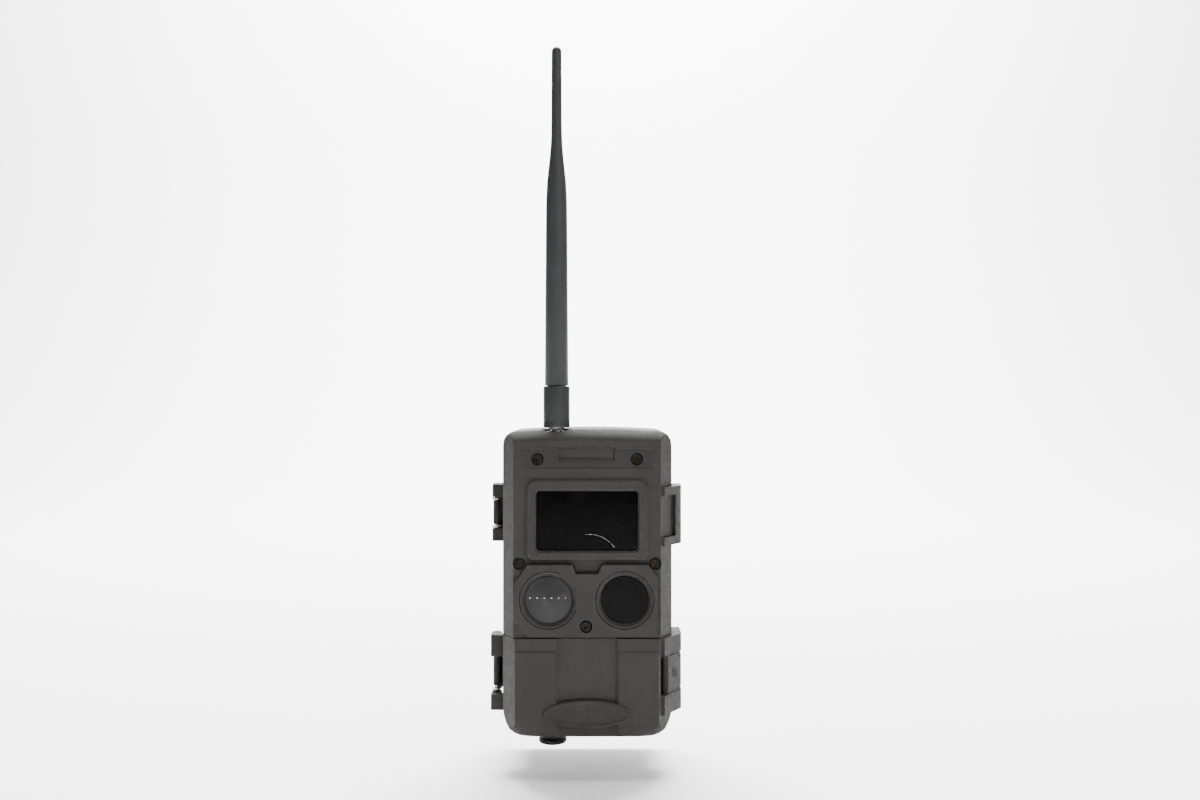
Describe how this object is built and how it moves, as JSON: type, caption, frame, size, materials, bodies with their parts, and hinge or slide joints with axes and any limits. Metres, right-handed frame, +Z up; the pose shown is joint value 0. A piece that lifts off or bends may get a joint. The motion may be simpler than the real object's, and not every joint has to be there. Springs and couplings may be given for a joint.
{
  "type": "trail camera",
  "caption": "Weatherproof trail camera with a flash window, motion sensor, lens port, whip antenna, latched lower door, strap lugs and a battery bay.",
  "frame": {"origin": "centre of the flat pad on the back, which rests against the tree", "axes": "+Z up along the antenna, front faces -Y, +X to the right as the front is seen"},
  "size_m": [0.0963, 0.0609, 0.3525],
  "materials": {
    "case": "fine matt moulded texture, warm dark grey",
    "antenna": "satin dark grey",
    "black_plastic": "matt black",
    "black_glass": "glossy black, infrared-passing",
    "fresnel": "satin, milky, fine lens rings",
    "rubber": "matt black rubber",
    "steel": "plain bright steel",
    "dark_brass": "dark bronze-tinted",
    "circuit_board": "green solder mask",
    "cell": "glossy sleeve"
  },
  "bodies": {
    "case": {"rear_housing": "case", "front_housing": "case", "housing_gasket": "rubber", "optics_plate": "case", "screw_1": "dark_brass", "screw_2": "dark_brass", "screw_3": "dark_brass", "screw_4": "dark_brass", "screw_5": "dark_brass", "pir_ring": "case", "lens_ring": "case", "pir_lens": "fresnel", "lens_window": "black_glass", "pir_sensor": "steel", "lens_barrel": "black_plastic", "lens_element": "black_glass", "sensor_board": "circuit_board", "flash_window": "black_glass", "window_gasket": "rubber", "led_board": "circuit_board", "led_array": "black_glass", "main_board": "circuit_board", "cellular_module": "steel", "antenna_nut": "steel", "antenna_socket": "steel", "antenna_lead": "black_plastic", "hinge_pin": "steel", "roller_pin": "steel", "hinge_clip_upper": "steel", "hinge_clip_lower": "steel", "roller_clip_upper": "steel", "roller_clip_lower": "steel", "tripod_insert": "dark_brass", "power_jack": "black_plastic", "control_panel": "black_plastic", "display": "black_glass", "card_socket": "steel"},
    "door": {"lower_door": "case", "door_gasket": "rubber", "badge_plate": "case", "latch_pin": "steel"},
    "latch": {"latch": "case"},
    "antenna": {"antenna_ferrule": "steel", "antenna_collar": "antenna", "antenna_whip": "antenna"},
    "roller": {"strap_roller": "case"},
    "tray": {"battery_tray": "black_plastic", "battery_1": "cell", "battery_2": "cell", "battery_3": "cell", "battery_4": "cell", "contact_plate_left": "steel", "contact_plate_right": "steel"},
    "card": {"memory_card": "black_plastic"},
    "switch": {"power_switch": "antenna"},
    "plug": {"socket_plug": "rubber"},
    "up": {"up_button": "rubber"},
    "down": {"down_button": "rubber"},
    "left": {"left_button": "rubber"},
    "right": {"right_button": "rubber"}
  },
  "joints": [
    {"name": "door_swing", "type": "hinge", "parent": "case", "child": "door", "pos_m": [-0.0464, -0.034, -0.049], "axis": [0, 0, -1], "range_deg": [0, 115]},
    {"name": "latch_lift", "type": "hinge", "parent": "door", "child": "latch", "pos_m": [0.0388, -0.053, -0.046], "axis": [0, 0, -1], "range_deg": [0, 60]},
    {"name": "antenna_turn", "type": "hinge", "parent": "case", "child": "antenna", "pos_m": [-0.0153, -0.048, 0.0759], "axis": [0, 0, 1], "continuous": true},
    {"name": "roller_turn", "type": "hinge", "parent": "case", "child": "roller", "pos_m": [-0.0464, -0.034, 0.0322], "axis": [0, 0, 1], "continuous": true},
    {"name": "tray_slide", "type": "slide", "parent": "case", "child": "tray", "axis": [0, -1, 0], "range_m": [0, 0.0125]},
    {"name": "card_slide", "type": "slide", "parent": "case", "child": "card", "axis": [0, -1, 0], "range_m": [0, 0.015]},
    {"name": "switch_slide", "type": "slide", "parent": "case", "child": "switch", "axis": [1, 0, 0], "range_m": [0, 0.004]},
    {"name": "plug_pull", "type": "slide", "parent": "case", "child": "plug", "axis": [0, 0, -1], "range_m": [0, 0.012]},
    {"name": "up_press", "type": "slide", "parent": "case", "child": "up", "axis": [0, 1, 0], "range_m": [0, 0.0006], "stiffness_N_per_m": 500},
    {"name": "down_press", "type": "slide", "parent": "case", "child": "down", "axis": [0, 1, 0], "range_m": [0, 0.0006], "stiffness_N_per_m": 500},
    {"name": "left_press", "type": "slide", "parent": "case", "child": "left", "axis": [0, 1, 0], "range_m": [0, 0.0006], "stiffness_N_per_m": 500},
    {"name": "right_press", "type": "slide", "parent": "case", "child": "right", "axis": [0, 1, 0], "range_m": [0, 0.0006], "stiffness_N_per_m": 500}
  ]
}
